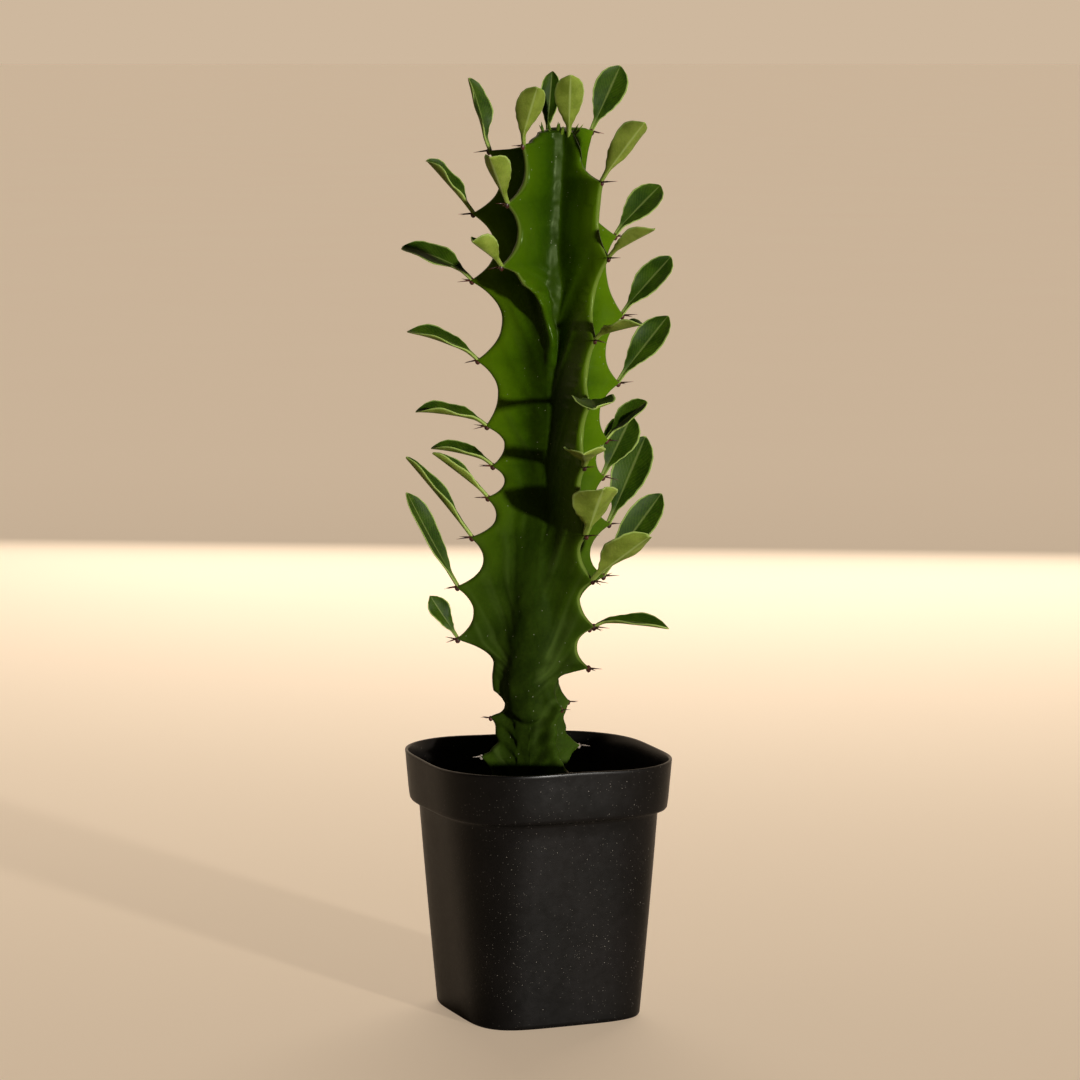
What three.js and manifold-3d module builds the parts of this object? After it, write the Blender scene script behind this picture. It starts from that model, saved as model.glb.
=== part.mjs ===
// A potted euphorbia: a square nursery pot filled with soil, one ribbed succulent stem, and the leaves
// that stand on the teeth of its ribs. Millimetres and degrees, +Z up, origin under the pot's centre.
import * as THREE from "three";
import { mergeVertices } from "three/addons/utils/BufferGeometryUtils.js";
import Module from "manifold-3d";

const clearance = 0.3; // left between pieces that touch

const potSize = {
  height: 102.6,
  rimHalf: 48,
  bandHalf: 46.4,
  bandBottom: 82.6,
  shoulderHalf: 43,
  footHalf: 35.1,
  wall: 1.2,
  floor: 1.6,
  bevel: 1,
  drainRadius: 4,
  drainOffset: 20,
};
const pointsRound = 48; // round each section of the pot and the soil

const soilSize = { top: 79.5, mound: 2.5 };

// The stem leans in the direction leanHeading, by an offset given against the height.
const leanHeading = -22;
const leanOffset = [
  [95, -3],
  [123, -3.8],
  [163, -1],
  [204, 2.5],
  [232, 4],
  [289, 5.5],
  [346, 7.5],
];
const stemSize = {
  foot: 40,
  footRadius: 11,
  ribsStart: 82.5,
  ribsEnd: 347.4,
  apex: 348,
  tipLevel: 346, // where the youngest leaves stand
  edgeHalf: 1.5, // half a rib's width near its crest
  edgeRounding: 2.8,
  flarePower: 2.6, // how late a rib's faces widen towards the axis
  envelopeLeast: 14,
  envelopeExtra: 3, // how far past the teeth a rib's faces would meet
};
// The young growth is stouter than the old, and ends over it in a round chin that hangs lowest in front.
const chin = {
  heading: 250,
  low: 114.6,
  rise: 8,
  roundness: 3.6,
  reach: 9.4,
  fadeStart: 150,
  fadeEnd: 205,
};
const coreRadius = [
  [40, 10.5],
  [82, 8],
  [92, 5],
  [100, 4],
  [170, 4.5],
  [220, 4.5],
  [340, 5.5],
  [347.4, 3.5],
];
// Half a rib's width where its faces would meet the stem's axis.
const rootHalf = [
  [95, 5.9],
  [117, 5.4],
  [122, 6.2],
  [130, 7],
  [165, 6.2],
  [205, 3.5],
  [344, 3.6],
];
// How tightly the ribs run into the core.
const ribBlend = [
  [95, 5],
  [130, 4],
  [185, 5],
  [225, 6],
  [344, 7],
];

// Each rib has its stoutness beside the others and its heading, against the height, and its teeth from the
// lowest up. A tooth is its height, its reach from the stem's centre, and the reach of the notch above it.
const ribs = {
  left: {
    stout: [
      [165, 1],
      [205, 1.7],
      [255, 1.9],
      [284, 2.5],
      [300, 1.7],
    ],
    heading: [
      [95, 160],
      [150, 159],
      [190, 156],
      [232, 153],
      [289, 146],
      [345, 136],
    ],
    teeth: [
      [82.5, 4, 15],
      [101.7, 19.6, 12.4],
      [117.1, 15.3, 8.2],
      [127.4, 13, 14],
      [148.5, 30.3, 24.2],
      [169.1, 31.4, 21.6],
      [188.6, 27.9, 18.6],
      [204.3, 22.7, 15.7],
      [216.7, 21.4, 16.8],
      [232.3, 24.6, 19.8],
      [257.9, 29, 19.4],
      [288.9, 32.5, 23],
      [314.9, 33.5, 23],
      [339.3, 29, 12],
      [344.4, 9, 8],
      [347.4, 2, 2],
    ],
  },
  frontLeft: {
    stout: [
      [250, 1.2],
      [300, 1.5],
    ],
    heading: [
      [250, 256],
      [264, 252],
      [279, 234],
      [284, 227],
      [288, 217],
      [296, 207],
      [345, 210],
    ],
    teeth: [
      [250, 5, 6],
      [257, 8, 9],
      [264, 10.5, 11],
      [279, 14.5, 15.5],
      [284, 17, 18.5],
      [288, 21, 22.5],
      [295.9, 30.5, 20.5],
      [319.9, 29.5, 19],
      [342, 22, 15],
      [344.6, 13, 11],
      [347.2, 3, 3],
    ],
  },
  frontRight: {
    stout: [
      [165, 1],
      [205, 0.7],
    ],
    heading: [
      [95, 294],
      [125, 298],
      [150, 307],
      [174, 298],
      [192, 284],
      [219, 278],
      [243, 280],
      [268, 283],
      [299, 291],
      [345, 290],
    ],
    teeth: [
      [82.5, 4, 14],
      [97.6, 20.5, 14],
      [122.1, 17.5, 11],
      [139.5, 28, 20],
      [155.4, 28, 21.5],
      [174, 29, 23],
      [192.2, 29.5, 24.5],
      [219.1, 30, 25.5],
      [242.9, 30, 26],
      [267.9, 30, 25.5],
      [299.3, 32, 25],
      [328.1, 26.5, 14],
      [344.2, 10, 9],
      [347.3, 2.5, 2.5],
    ],
  },
  right: {
    stout: [[165, 1]],
    heading: [
      [95, -5],
      [125, -2],
      [150, 10],
      [171, 6],
      [225, 9],
      [248, 3],
      [275, 1],
      [305, 16],
      [345, 16],
    ],
    teeth: [
      [82.5, 4, 14],
      [105, 21, 15],
      [122.5, 17.5, 11],
      [150.6, 27, 20],
      [171.5, 31, 23],
      [192.2, 31, 23],
      [211.1, 27.5, 23],
      [225.6, 28, 23],
      [248.3, 31, 24],
      [275, 31, 25],
      [305.6, 32, 14],
      [346.8, 18, 15],
      [347.4, 15, 15],
    ],
  },
};

// The leaves: their rib, the height of their tooth, heading, elevation, length, width, roll about their
// length, how far each half folds up, and how far the tip droops as a share of the length.
const leaves = [
  ["left", 339.3, 143, 80, 27, 12, 40, 25, 0.12],
  ["left", 314.9, 150, 48, 25.5, 12, -10, 30, 0.02],
  ["left", 288.9, 152, 33, 28.5, 13, -36, 18, 0.27],
  ["left", 257.9, 154, 28, 28, 12, -20, 25, 0.18],
  ["left", 232.3, 156, 15, 27, 12, -15, 28, 0.14],
  ["left", 216.7, 148, 19, 24, 11, -15, 28, 0.16],
  ["left", 204.3, 164, 38, 26, 9, -8, 35, 0.02],
  ["left", 188.6, 158, 51, 38.5, 10, -12, 30, 0.02],
  ["left", 169.1, 156, 59, 40, 12, -34, 18, -0.06],
  ["left", 148.5, 152, 55, 18, 9, -55, 12, -0.05],
  ["frontLeft", 342, 268, 50, 27, 12.5, -8, 22, 0.02],
  ["frontLeft", 319.9, 231, 40, 26, 14, 0, 38, 0.02],
  ["frontLeft", 295.9, 212, 28, 19.5, 13, 8, 42, 0.05],
  ["frontRight", 328.1, 291, 44, 31, 13, -25, 28, 0.02],
  ["frontRight", 299.3, 294, 24, 25, 11, -8, 25, 0.02],
  ["frontRight", 267.9, 292, 14, 25, 11, 0, 24, 0.04],
  ["frontRight", 242.9, 251, 1, 26, 18, 0, 15, 0.06],
  ["frontRight", 219.1, 245, 13, 27, 18, 0, 20, 0.02],
  ["frontRight", 192.2, 262, 41, 29, 20, 5, 20, 0.02],
  ["frontRight", 174, 298, 33, 32, 18, -20, 20, 0],
  ["frontRight", 155.4, 318, 5, 29, 9, 25, 30, 0.16],
  ["right", 346.8, 16, 60, 27, 13.5, 50, 12, 0.02],
  ["right", 305.6, 13, 40, 28, 13, 45, 16, 0.05],
  ["right", 275, 3, 45, 29, 12.5, 45, 14, 0.02],
  ["right", 248.3, 3, 49, 32, 13, 50, 14, 0.04],
  ["right", 225.6, -18, 40, 20, 12, 35, 24, 0],
  ["right", 211.1, 12, 59, 25, 15, 50, 14, 0.02],
  ["right", 192.2, 2, 65, 35.5, 16, 55, 14, 0.02],
  ["right", 171.5, 12, 47, 40, 14, 50, 16, 0.02],
];
// The youngest leaves stand round the growing tip: heading and distance of the base from the stem's centre,
// then heading, elevation, length, width, roll, fold and droop.
const tipLeaves = [
  [285, 7.5, 250, 58, 26.5, 12.5, 4, 18, 0.02],
  [100, 7, 48, 76, 24, 9, 20, 22, 0],
];
const leafSize = {
  thickness: 1,
  baseLift: 1.6, // above the tooth's tip
  // Half the width against the length, both as shares.
  outline: [
    [0, 0.12],
    [0.14, 0.18],
    [0.32, 0.6],
    [0.5, 0.92],
    [0.66, 1],
    [0.82, 0.84],
    [0.93, 0.45],
  ],
};

const radians = (degrees) => (degrees * Math.PI) / 180;
const mix = (from, to, share) => from + (to - from) * share;

// A smooth value at the given height, between the points of a list of heights and values.
function along(points, height) {
  const upper = points.findIndex((point) => point[0] >= height);
  if (upper < 0) return points[points.length - 1][1];
  if (upper === 0) return points[0][1];
  const [low, high] = [points[upper - 1], points[upper]];
  const share = (height - low[0]) / (high[0] - low[0]);
  return mix(low[1], high[1], share * share * (3 - 2 * share));
}

// How far a rib's crest reaches at a height: it drops to a notch above each tooth and rises to the next.
function crestReach(teeth, height) {
  if (height <= teeth[0][0]) return teeth[0][1];
  const upper = teeth.findIndex((tooth) => tooth[0] >= height);
  if (upper < 0) return teeth[teeth.length - 1][1];
  const [low, high] = [teeth[upper - 1], teeth[upper]];
  const notch = low[2];
  const notchAt = 0.5;
  const share = (height - low[0]) / (high[0] - low[0]);
  if (share < notchAt) return mix(low[1], notch, 1 - (1 - share / notchAt) ** 2.6);
  return mix(notch, high[1], ((share - notchAt) / (1 - notchAt)) ** 1.9);
}

function stemCentre(height) {
  const offset = along(leanOffset, height);
  const heading = radians(leanHeading);
  return new THREE.Vector3(offset * Math.cos(heading), offset * Math.sin(heading), height);
}

// How far out one rib's surface lies, in a direction given by its turn from the rib's heading. The rib is a
// thin plate that flares towards the stem's axis and is round along its crest.
function ribRadius(rib, height, turn) {
  const reach = crestReach(rib.teeth, height);
  const root = along(rootHalf, height) * along(rib.stout, height);
  if (Math.cos(turn) <= 0) return Math.min(root, reach);
  const { edgeHalf, envelopeLeast, envelopeExtra } = stemSize;
  const envelope = Math.max(along(rib.teeth, height), reach, envelopeLeast) + envelopeExtra;
  const flare = root - edgeHalf;
  const rounding = Math.min(stemSize.edgeRounding, reach / 2);
  let [inner, outer] = [0, reach];
  for (let i = 0; i < 24; i++) {
    const middle = (inner + outer) / 2;
    const out = middle * Math.cos(turn);
    const gap = Math.min(1, (reach - out) / rounding);
    const cap = Math.sqrt(1 - (1 - gap) ** 2);
    const half = cap * (edgeHalf + flare * Math.max(0, 1 - out / envelope) ** stemSize.flarePower);
    if (middle * Math.abs(Math.sin(turn)) < half) inner = middle;
    else outer = middle;
  }
  return inner;
}

function chinRadius(direction, height) {
  const facing = Math.cos(radians(direction - chin.heading));
  const grown = (height - chin.low - chin.rise * (1 - facing)) / chin.roundness;
  const bulge = Math.sqrt(1 - (1 - Math.min(1, Math.max(0, grown))) ** 2);
  const fade = [
    [chin.fadeStart, 1],
    [chin.fadeEnd, 0],
  ];
  return chin.reach * bulge * along(fade, height) * (0.75 + 0.25 * facing);
}

// The distance from the stem's centre to its surface, in one direction at one height.
function stemRadius(direction, height) {
  const power = along(ribBlend, height);
  let total = along(coreRadius, height) ** power + chinRadius(direction, height) ** power;
  for (const rib of Object.values(ribs)) {
    if (height < rib.teeth[0][0]) continue;
    total += ribRadius(rib, height, radians(direction - along(rib.heading, height))) ** power;
  }
  return total ** (1 / power);
}

// Closes a stack of rings into one solid, with a pole at each end.
function loft(firstPole, rings, lastPole) {
  const count = rings[0].length;
  const points = [firstPole, ...rings.flat(), lastPole];
  const last = points.length - 1;
  const faces = [];
  for (let i = 0; i < count; i++) {
    const next = (i + 1) % count;
    faces.push(0, 1 + next, 1 + i);
    for (let ring = 0; ring < rings.length - 1; ring++) {
      const low = 1 + ring * count;
      const high = low + count;
      faces.push(low + i, low + next, high + next);
      faces.push(low + i, high + next, high + i);
    }
    faces.push(last, last - count + i, last - count + next);
  }
  const geometry = new THREE.BufferGeometry().setFromPoints(points);
  geometry.setIndex(faces);
  geometry.computeVertexNormals();
  return geometry;
}

// A ring of a square section with bowed sides and round corners. Its corners are tighter near the foot.
function squareRing(half, height) {
  const tight = mix(4.4, 3.3, Math.min(1, height / potSize.bandBottom));
  const ring = [];
  for (let i = 0; i < pointsRound; i++) {
    const angle = ((i + 0.5) / pointsRound) * 2 * Math.PI;
    const [x, y] = [Math.cos(angle), Math.sin(angle)];
    const scale = half / (Math.abs(x) ** tight + Math.abs(y) ** tight) ** (1 / tight);
    ring.push(new THREE.Vector3(x * scale, y * scale, height));
  }
  return ring;
}

// Half the width of the pot's plain wall at a height, outside.
function wallHalf(height) {
  return mix(potSize.footHalf, potSize.shoulderHalf, height / potSize.bandBottom);
}

const wasm = await Module();
wasm.setup();

function solidOf(geometry) {
  const bare = geometry.clone();
  bare.deleteAttribute("normal");
  bare.deleteAttribute("uv");
  const merged = mergeVertices(bare, 1e-4);
  const vertProperties = merged.attributes.position.array;
  const triVerts = new Uint32Array(merged.index.array);
  return new wasm.Manifold(new wasm.Mesh({ numProp: 3, vertProperties, triVerts }));
}

function geometryOf(solid) {
  const mesh = solid.getMesh();
  const geometry = new THREE.BufferGeometry();
  geometry.setAttribute("position", new THREE.BufferAttribute(mesh.vertProperties, 3));
  geometry.setIndex(new THREE.BufferAttribute(mesh.triVerts, 1));
  geometry.computeVertexNormals();
  return geometry;
}

function makePot() {
  const { height, bandBottom, bevel, wall, floor, drainRadius, drainOffset } = potSize;
  const bandTurn = bandBottom + bevel;
  const outside = [
    [potSize.footHalf - bevel, 0],
    [wallHalf(bevel), bevel],
    [potSize.shoulderHalf, bandBottom],
    [potSize.bandHalf - bevel, bandBottom],
    [potSize.bandHalf, bandTurn],
    [potSize.rimHalf, height - wall / 2],
    [potSize.rimHalf - wall / 3, height],
  ];
  const inside = [
    [potSize.rimHalf - wall, height],
    [potSize.bandHalf - wall, bandTurn + wall],
    [potSize.shoulderHalf - wall, bandBottom],
    [wallHalf(floor + bevel) - wall, floor + bevel],
    [potSize.footHalf - wall - bevel, floor],
  ];
  const rings = [...outside, ...inside].map(([half, at]) => squareRing(half, at));
  const shell = loft(new THREE.Vector3(0, 0, 0), rings, new THREE.Vector3(0, 0, floor));
  let solid = solidOf(shell);
  const drain = new THREE.CylinderGeometry(drainRadius, drainRadius, 3 * floor, 16);
  drain.rotateX(Math.PI / 2);
  for (const x of [-drainOffset, drainOffset]) {
    for (const y of [-drainOffset, drainOffset]) {
      solid = solid.subtract(solidOf(drain.clone().translate(x, y, floor / 2)));
    }
  }
  return geometryOf(solid);
}

// The soil fills the pot to below its band and has a round hole for the foot of the stem.
function makeSoil() {
  const bottom = potSize.floor + clearance;
  const innerHalf = (height) => wallHalf(height) - potSize.wall - 2 * clearance;
  const { top, mound } = soilSize;
  const centre = stemCentre(stemSize.foot);
  const holeRadius = stemSize.footRadius + clearance * 2;
  const hole = (radius, height) =>
    squareRing(1, 0).map((point) => {
      const turn = Math.atan2(point.y, point.x);
      const [x, y] = [centre.x + radius * Math.cos(turn), centre.y + radius * Math.sin(turn)];
      return new THREE.Vector3(x, y, height);
    });
  const holeBottom = stemSize.foot - clearance;
  const rings = [
    squareRing(innerHalf(bottom) - potSize.bevel, bottom),
    squareRing(innerHalf(bottom + potSize.bevel), bottom + potSize.bevel),
    squareRing(innerHalf(top), top),
    squareRing(innerHalf(top) * 0.72, top + mound * 0.6),
    hole(holeRadius + 4, top + mound),
    hole(holeRadius, top + mound * 0.6),
    hole(holeRadius, holeBottom),
  ];
  const pole = new THREE.Vector3(centre.x, centre.y, holeBottom);
  return loft(new THREE.Vector3(0, 0, bottom), rings, pole);
}

// Directions round one section, close together at each crest: turns in degrees, or shares of a narrow gap.
const crestTurns = [
  [1.6, 0.03],
  [4, 0.09],
  [9, 0.18],
  [18, 0.33],
];

function sectionDirections(height) {
  const headings = Object.values(ribs).map((rib) => along(rib.heading, height));
  return headings.flatMap((start, i) => {
    const next = headings[(i + 1) % headings.length];
    const gap = next > start ? next - start : next + 360 - start;
    const turns = crestTurns.map(([turn, share]) => Math.min(turn, share * gap));
    const back = turns.map((turn) => gap - turn).reverse();
    return [0, ...turns, gap / 2, ...back].map((turn) => start + turn);
  });
}

function stemRing(height, scale = 1, lift = 0) {
  const centre = stemCentre(height);
  return sectionDirections(height).map((direction) => {
    const radius = scale * stemRadius(direction, height);
    const turn = radians(direction);
    const [x, y] = [centre.x + radius * Math.cos(turn), centre.y + radius * Math.sin(turn)];
    return new THREE.Vector3(x, y, height + lift);
  });
}

// Sections lie at every tooth, just above it and in the notches, so the teeth stay sharp.
function stemHeights() {
  const wanted = new Set([60, stemSize.ribsStart]);
  for (const rib of Object.values(ribs)) {
    for (const [height] of rib.teeth) wanted.add(height);
  }
  for (let height = 84; height < stemSize.ribsEnd; height += 4.4) wanted.add(height);
  const sorted = [...wanted].sort((a, b) => a - b);
  return sorted.filter((height, i) => i === 0 || height - sorted[i - 1] > 0.9 || height === stemSize.ribsEnd);
}

function makeStem() {
  const { foot, footRadius, apex, ribsEnd } = stemSize;
  const rings = [stemRing(foot, 0.7), stemRing(foot, 1, footRadius * 0.15)];
  for (const height of stemHeights()) rings.push(stemRing(height));
  const crown = apex - ribsEnd;
  rings.push(stemRing(ribsEnd, 0.8, crown * 0.5));
  rings.push(stemRing(ribsEnd, 0.4, crown * 0.9));
  const top = stemCentre(ribsEnd);
  top.z = apex;
  return loft(stemCentre(foot), rings, top);
}

// A leaf lies along +X with its upper face up. Its section is a thin folded lens.
function makeLeaf(length, width, fold, droop) {
  const { outline, thickness } = leafSize;
  const rings = outline.map(([share, wide]) => {
    const half = (width / 2) * wide;
    const x = length * share;
    const z = -droop * length * share * share;
    const thick = (thickness / 2) * mix(1.3, 0.7, share);
    const [side, rise] = [half * Math.cos(radians(fold)), half * Math.sin(radians(fold))];
    return [
      new THREE.Vector3(x, side, z + rise),
      new THREE.Vector3(x, 0, z + thick),
      new THREE.Vector3(x, -side, z + rise),
      new THREE.Vector3(x, 0, z - thick),
    ];
  });
  const tip = new THREE.Vector3(length, 0, -droop * length);
  return loft(new THREE.Vector3(-0.2, 0, 0), rings, tip);
}

const colours = {
  pot: { color: 0x1d1a19, roughness: 0.5, metalness: 0 },
  soil: { color: 0x2b211a, roughness: 1, metalness: 0 },
  stem: { color: 0x2c5212, roughness: 0.4, metalness: 0 },
  leaf: { color: 0x3c6a22, roughness: 0.45, metalness: 0 },
};

const euphorbia = new THREE.Group();

function addMesh(name, geometry, colour) {
  const mesh = new THREE.Mesh(geometry, new THREE.MeshStandardMaterial(colours[colour]));
  mesh.name = name;
  euphorbia.add(mesh);
  return mesh;
}

function addLeaf(name, base, heading, elevation, length, width, roll, fold, droop) {
  const mesh = addMesh(name, makeLeaf(length, width, fold, droop), "leaf");
  mesh.position.copy(base);
  mesh.rotation.set(radians(roll), radians(-elevation), radians(heading), "ZYX");
}

addMesh("pot", makePot(), "pot");
addMesh("soil", makeSoil(), "soil");
addMesh("stem", makeStem(), "stem");

const leafCount = {};
for (const [ribName, toothHeight, heading, ...shape] of leaves) {
  const rib = ribs[ribName];
  const direction = radians(along(rib.heading, toothHeight));
  const reach = crestReach(rib.teeth, toothHeight) + clearance;
  const base = stemCentre(toothHeight);
  base.x += reach * Math.cos(direction);
  base.y += reach * Math.sin(direction);
  base.z += leafSize.baseLift;
  leafCount[ribName] = (leafCount[ribName] ?? 0) + 1;
  addLeaf("leaf_" + ribName + "_" + leafCount[ribName], base, heading, ...shape);
}
tipLeaves.forEach(([side, distance, heading, ...shape], i) => {
  const base = stemCentre(stemSize.tipLevel);
  base.x += distance * Math.cos(radians(side));
  base.y += distance * Math.sin(radians(side));
  base.z += clearance;
  addLeaf("leaf_tip_" + (i + 1), base, heading, ...shape);
});

export default euphorbia;
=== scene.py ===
import math
import random

import bmesh
import bpy
import numpy as np
from mathutils import Matrix, Vector
from mathutils.noise import fractal


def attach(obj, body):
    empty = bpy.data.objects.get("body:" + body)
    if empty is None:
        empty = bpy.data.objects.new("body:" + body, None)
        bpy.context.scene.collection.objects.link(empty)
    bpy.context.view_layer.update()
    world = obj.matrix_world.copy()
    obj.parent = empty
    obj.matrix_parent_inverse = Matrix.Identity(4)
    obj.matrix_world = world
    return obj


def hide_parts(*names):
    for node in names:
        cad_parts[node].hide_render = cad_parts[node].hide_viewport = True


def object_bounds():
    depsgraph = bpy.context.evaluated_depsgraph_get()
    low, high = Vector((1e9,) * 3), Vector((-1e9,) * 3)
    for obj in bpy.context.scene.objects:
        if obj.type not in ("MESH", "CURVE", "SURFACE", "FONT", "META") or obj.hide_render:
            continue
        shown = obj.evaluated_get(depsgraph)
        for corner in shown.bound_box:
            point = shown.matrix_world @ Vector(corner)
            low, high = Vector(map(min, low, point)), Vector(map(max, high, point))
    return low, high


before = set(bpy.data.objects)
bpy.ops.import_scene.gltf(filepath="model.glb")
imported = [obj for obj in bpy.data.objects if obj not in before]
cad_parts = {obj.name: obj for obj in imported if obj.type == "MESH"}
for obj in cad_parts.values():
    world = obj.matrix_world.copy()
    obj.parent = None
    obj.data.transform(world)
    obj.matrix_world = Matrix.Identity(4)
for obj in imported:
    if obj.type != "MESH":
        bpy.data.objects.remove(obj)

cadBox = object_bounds()
scene = bpy.context.scene
scene.view_settings.view_transform = "Standard"
mm = 0.001  # the tables below are in millimetres and degrees, the materials in metres


# small helpers

def mix(low, high, share):
    return low + (high - low) * share


def smooth(share):
    share = min(max(share, 0.0), 1.0)
    return share * share * (3 - 2 * share)


def along(points, height):
    # a smooth value at a height, between listed heights
    if height <= points[0][0]:
        return points[0][1]
    for low, high in zip(points, points[1:]):
        if height <= high[0]:
            return mix(low[1], high[1], smooth((height - low[0]) / (high[0] - low[0])))
    return points[-1][1]


def heading(degrees):
    turn = math.radians(degrees)
    return Vector((math.cos(turn), math.sin(turn), 0))


def extrudeRings(bm, rings):
    # grows a closed wall from the first ring: each extruded loop is pulled onto the next ring
    start = bmesh.ops.create_circle(bm, segments=len(rings[0]), radius=1, cap_ends=False)["verts"]
    loop = list(start)
    for vert, place in zip(loop, rings[0]):
        vert.co = place
    loops = [loop]
    edges = list(bm.edges)
    for ring in rings[1:]:
        grown = bmesh.ops.extrude_edge_only(bm, edges=edges)["geom"]
        edges = [item for item in grown if isinstance(item, bmesh.types.BMEdge)]
        fresh = {item for item in grown if isinstance(item, bmesh.types.BMVert)}
        edges = [edge for edge in edges if edge.verts[0] in fresh and edge.verts[1] in fresh]
        following = []
        for vert in loop:
            following.append(next(e.other_vert(vert) for e in vert.link_edges if e.other_vert(vert) in fresh))
        for vert, place in zip(following, ring):
            vert.co = place
        loop = following
        loops.append(loop)
    return loops


def closeWithPole(bm, loop, place):
    face = bm.faces.new(loop)
    pole = bmesh.ops.poke(bm, faces=[face])["verts"][0]
    pole.co = place
    return pole


def finishPiece(name, bm, nodes, materials, levels=0):
    bmesh.ops.recalc_face_normals(bm, faces=bm.faces)
    mesh = bpy.data.meshes.new(name)
    bm.to_mesh(mesh)
    bm.free()
    for polygon in mesh.polygons:
        polygon.use_smooth = True
    piece = bpy.data.objects.new(name, mesh)
    scene.collection.objects.link(piece)
    for material in materials:
        mesh.materials.append(material)
    if levels:
        refine = piece.modifiers.new("refine", "SUBSURF")
        refine.levels = refine.render_levels = levels
    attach(piece, "root")
    if nodes:
        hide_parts(*nodes)
    return piece


def colour(red, green, blue):
    # a colour as it looks on a screen, 0 to 255, as linear light
    def linear(value):
        value /= 255
        return value / 12.92 if value <= 0.04045 else ((value + 0.055) / 1.055) ** 2.4
    return (linear(red), linear(green), linear(blue), 1.0)


# shader helpers

def addNode(tree, kind, inputs=None, **settings):
    made = tree.nodes.new(kind)
    for name, value in settings.items():
        setattr(made, name, value)
    for name, value in (inputs or {}).items():
        if isinstance(value, bpy.types.NodeSocket):
            tree.links.new(value, made.inputs[name])
        else:
            made.inputs[name].default_value = value
    return made


def maths(tree, operation, first, second=0.0):
    return addNode(tree, "ShaderNodeMath", {0: first, 1: second}, operation=operation).outputs[0]


def ramp(tree, value, low, high, outLow=0.0, outHigh=1.0):
    inputs = {"Value": value, "From Min": low, "From Max": high, "To Min": outLow, "To Max": outHigh}
    return addNode(tree, "ShaderNodeMapRange", inputs, interpolation_type="SMOOTHSTEP").outputs[0]


def blend(tree, factor, first, second):
    return addNode(tree, "ShaderNodeMix", {0: factor, 6: first, 7: second}, data_type="RGBA").outputs[2]


def mixBy(tree, first, second, share):
    return addNode(tree, "ShaderNodeMix", {0: share, 2: first, 3: second}, data_type="FLOAT").outputs[0]


def noise(tree, vector, scale, detail=3.0, roughness=0.5):
    inputs = {"Vector": vector, "Scale": scale, "Detail": detail, "Roughness": roughness}
    return addNode(tree, "ShaderNodeTexNoise", inputs).outputs[0]


def attribute(tree, name):
    return addNode(tree, "ShaderNodeAttribute", attribute_name=name).outputs["Fac"]


def newMaterial(name):
    material = bpy.data.materials.new(name)
    material.use_nodes = True
    tree = material.node_tree
    shader = tree.nodes["Principled BSDF"]
    place = tree.nodes.new("ShaderNodeTexCoord").outputs["Object"]
    return material, tree, shader, place


def newGroup(name, inputs, outputs):
    group = bpy.data.node_groups.new(name, "ShaderNodeTree")
    for label, kind, value in inputs:
        socket = group.interface.new_socket(name=label, in_out="INPUT", socket_type=kind)
        if value is not None:
            socket.default_value = value
    for label, kind in outputs:
        group.interface.new_socket(name=label, in_out="OUTPUT", socket_type=kind)
    return group, group.nodes.new("NodeGroupInput"), group.nodes.new("NodeGroupOutput")


def useGroup(tree, group, **inputs):
    node = tree.nodes.new("ShaderNodeGroup")
    node.node_tree = group
    for name, value in inputs.items():
        if isinstance(value, bpy.types.NodeSocket):
            tree.links.new(value, node.inputs[name])
        else:
            node.inputs[name].default_value = value
    return node


def makeSpeckGroup():
    # scattered specks of dust: a mask of small dots, thinned out by a slow noise
    group, given, result = newGroup(
        "dustSpecks",
        [("Place", "NodeSocketVector", None), ("Scale", "NodeSocketFloat", 600.0),
         ("Size", "NodeSocketFloat", 0.12), ("Cover", "NodeSocketFloat", 0.5)],
        [("Mask", "NodeSocketFloat")])
    place = given.outputs["Place"]
    cells = addNode(group, "ShaderNodeTexVoronoi", {"Vector": place, "Scale": given.outputs["Scale"]})
    dot = maths(group, "LESS_THAN", cells.outputs["Distance"], given.outputs["Size"])
    chance = addNode(group, "ShaderNodeSeparateColor", {"Color": cells.outputs["Color"]}).outputs[0]
    patches = noise(group, place, 45.0)
    kept = maths(group, "LESS_THAN", maths(group, "ADD", chance, maths(group, "SUBTRACT", 0.5, patches)),
                 given.outputs["Cover"])
    group.links.new(maths(group, "MULTIPLY", dot, kept), result.inputs["Mask"])
    return group


def makeMottleGroup():
    # a soft uneven mix of two colours at two scales
    group, given, result = newGroup(
        "mottle",
        [("Place", "NodeSocketVector", None), ("Scale", "NodeSocketFloat", 60.0),
         ("Dark", "NodeSocketColor", None), ("Light", "NodeSocketColor", None)],
        [("Color", "NodeSocketColor"), ("Grain", "NodeSocketFloat")])
    place = given.outputs["Place"]
    coarse = noise(group, place, given.outputs["Scale"], 2.0)
    fine = noise(group, place, maths(group, "MULTIPLY", given.outputs["Scale"], 9.0), 4.0, 0.6)
    share = ramp(group, mixBy(group, coarse, fine, 0.3), 0.35, 0.65)
    mixed = blend(group, share, given.outputs["Dark"], given.outputs["Light"])
    group.links.new(mixed, result.inputs["Color"])
    group.links.new(fine, result.inputs["Grain"])
    return group


speckGroup = makeSpeckGroup()
mottleGroup = makeMottleGroup()


def mottle(tree, place, scale, dark, light):
    return useGroup(tree, mottleGroup, Place=place, Scale=scale, Dark=dark, Light=light)


def specks(tree, place, scale, size, cover):
    return useGroup(tree, speckGroup, Place=place, Scale=scale, Size=size, Cover=cover).outputs["Mask"]


def addBump(tree, shader, height, strength, distance):
    bump = addNode(tree, "ShaderNodeBump", {"Strength": strength, "Distance": distance, "Height": height})
    tree.links.new(bump.outputs[0], shader.inputs["Normal"])


# the camera, the floor and the lights

view = {"distance": 1.5746, "side": -22.27, "turn": -22.304, "height": 0.3821, "dip": 7.06, "lens": 134.93}


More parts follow.
